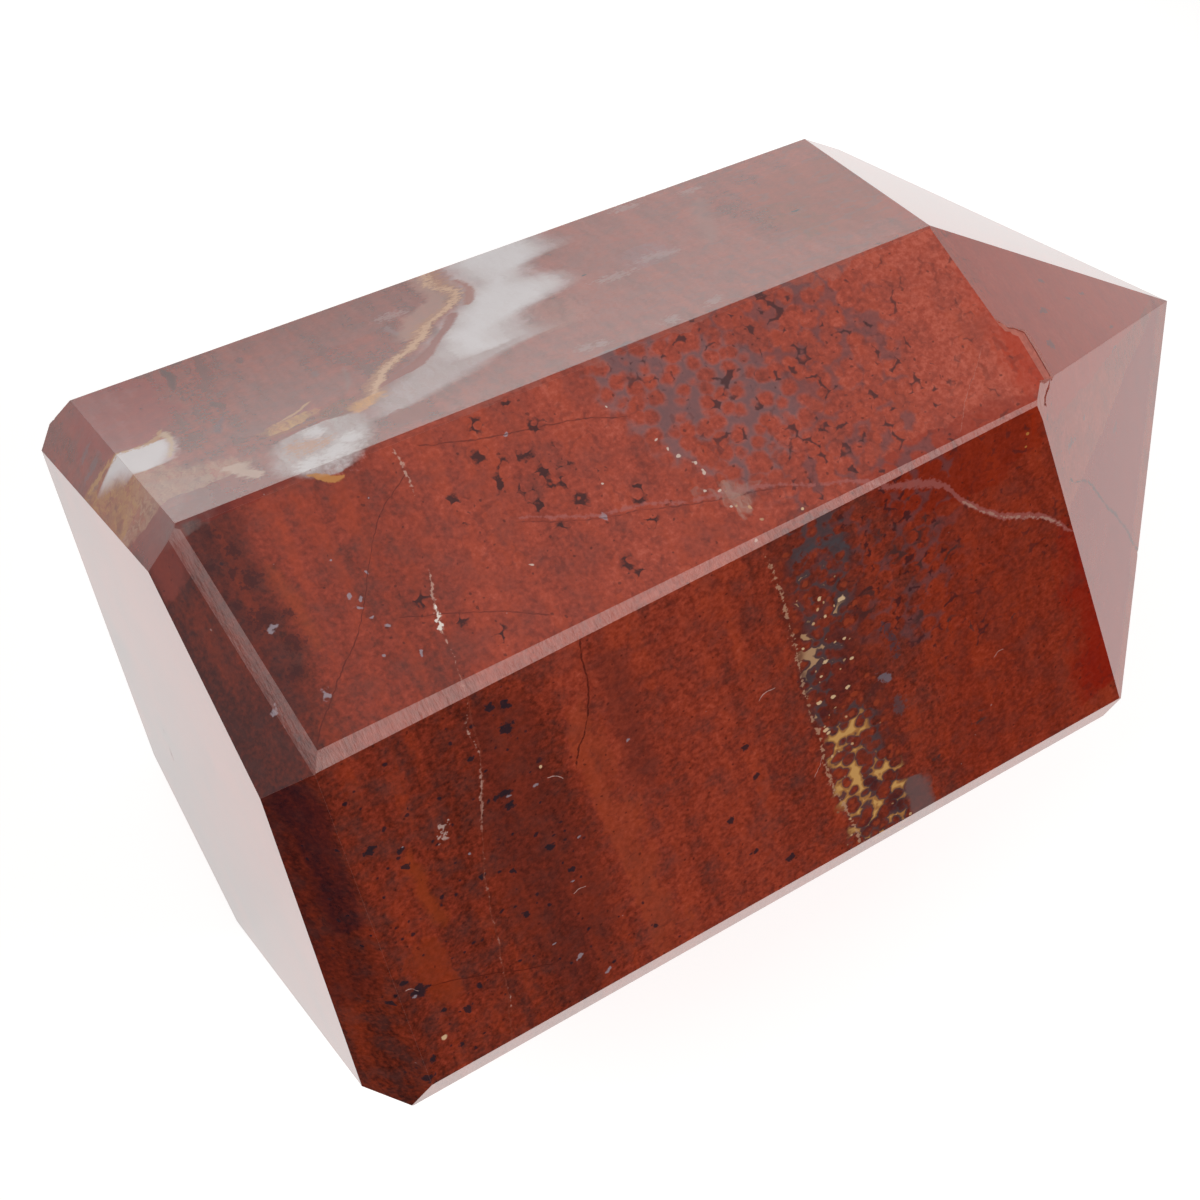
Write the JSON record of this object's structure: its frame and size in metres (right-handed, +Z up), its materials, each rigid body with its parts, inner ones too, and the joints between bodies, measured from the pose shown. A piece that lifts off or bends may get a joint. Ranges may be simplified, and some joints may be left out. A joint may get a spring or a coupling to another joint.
{
  "type": "polished stone tower",
  "caption": "Polished red jasper tower with uneven flat sides, narrow ground edge strips, a chamfered flat base and a faceted point, lying on one side.",
  "frame": {"origin": "centre of the stone's extent in plan, at the level of the side that it rests on", "axes": "+X along the stone from its base to its point, +Y towards its back side, +Z up"},
  "size_m": [0.127, 0.087, 0.098],
  "materials": {
    "jasper": "polished red jasper with quartz veins, dark spots and a band of small rings"
  },
  "bodies": {
    "root": {"jasper_tower": "jasper"}
  },
  "joints": []
}
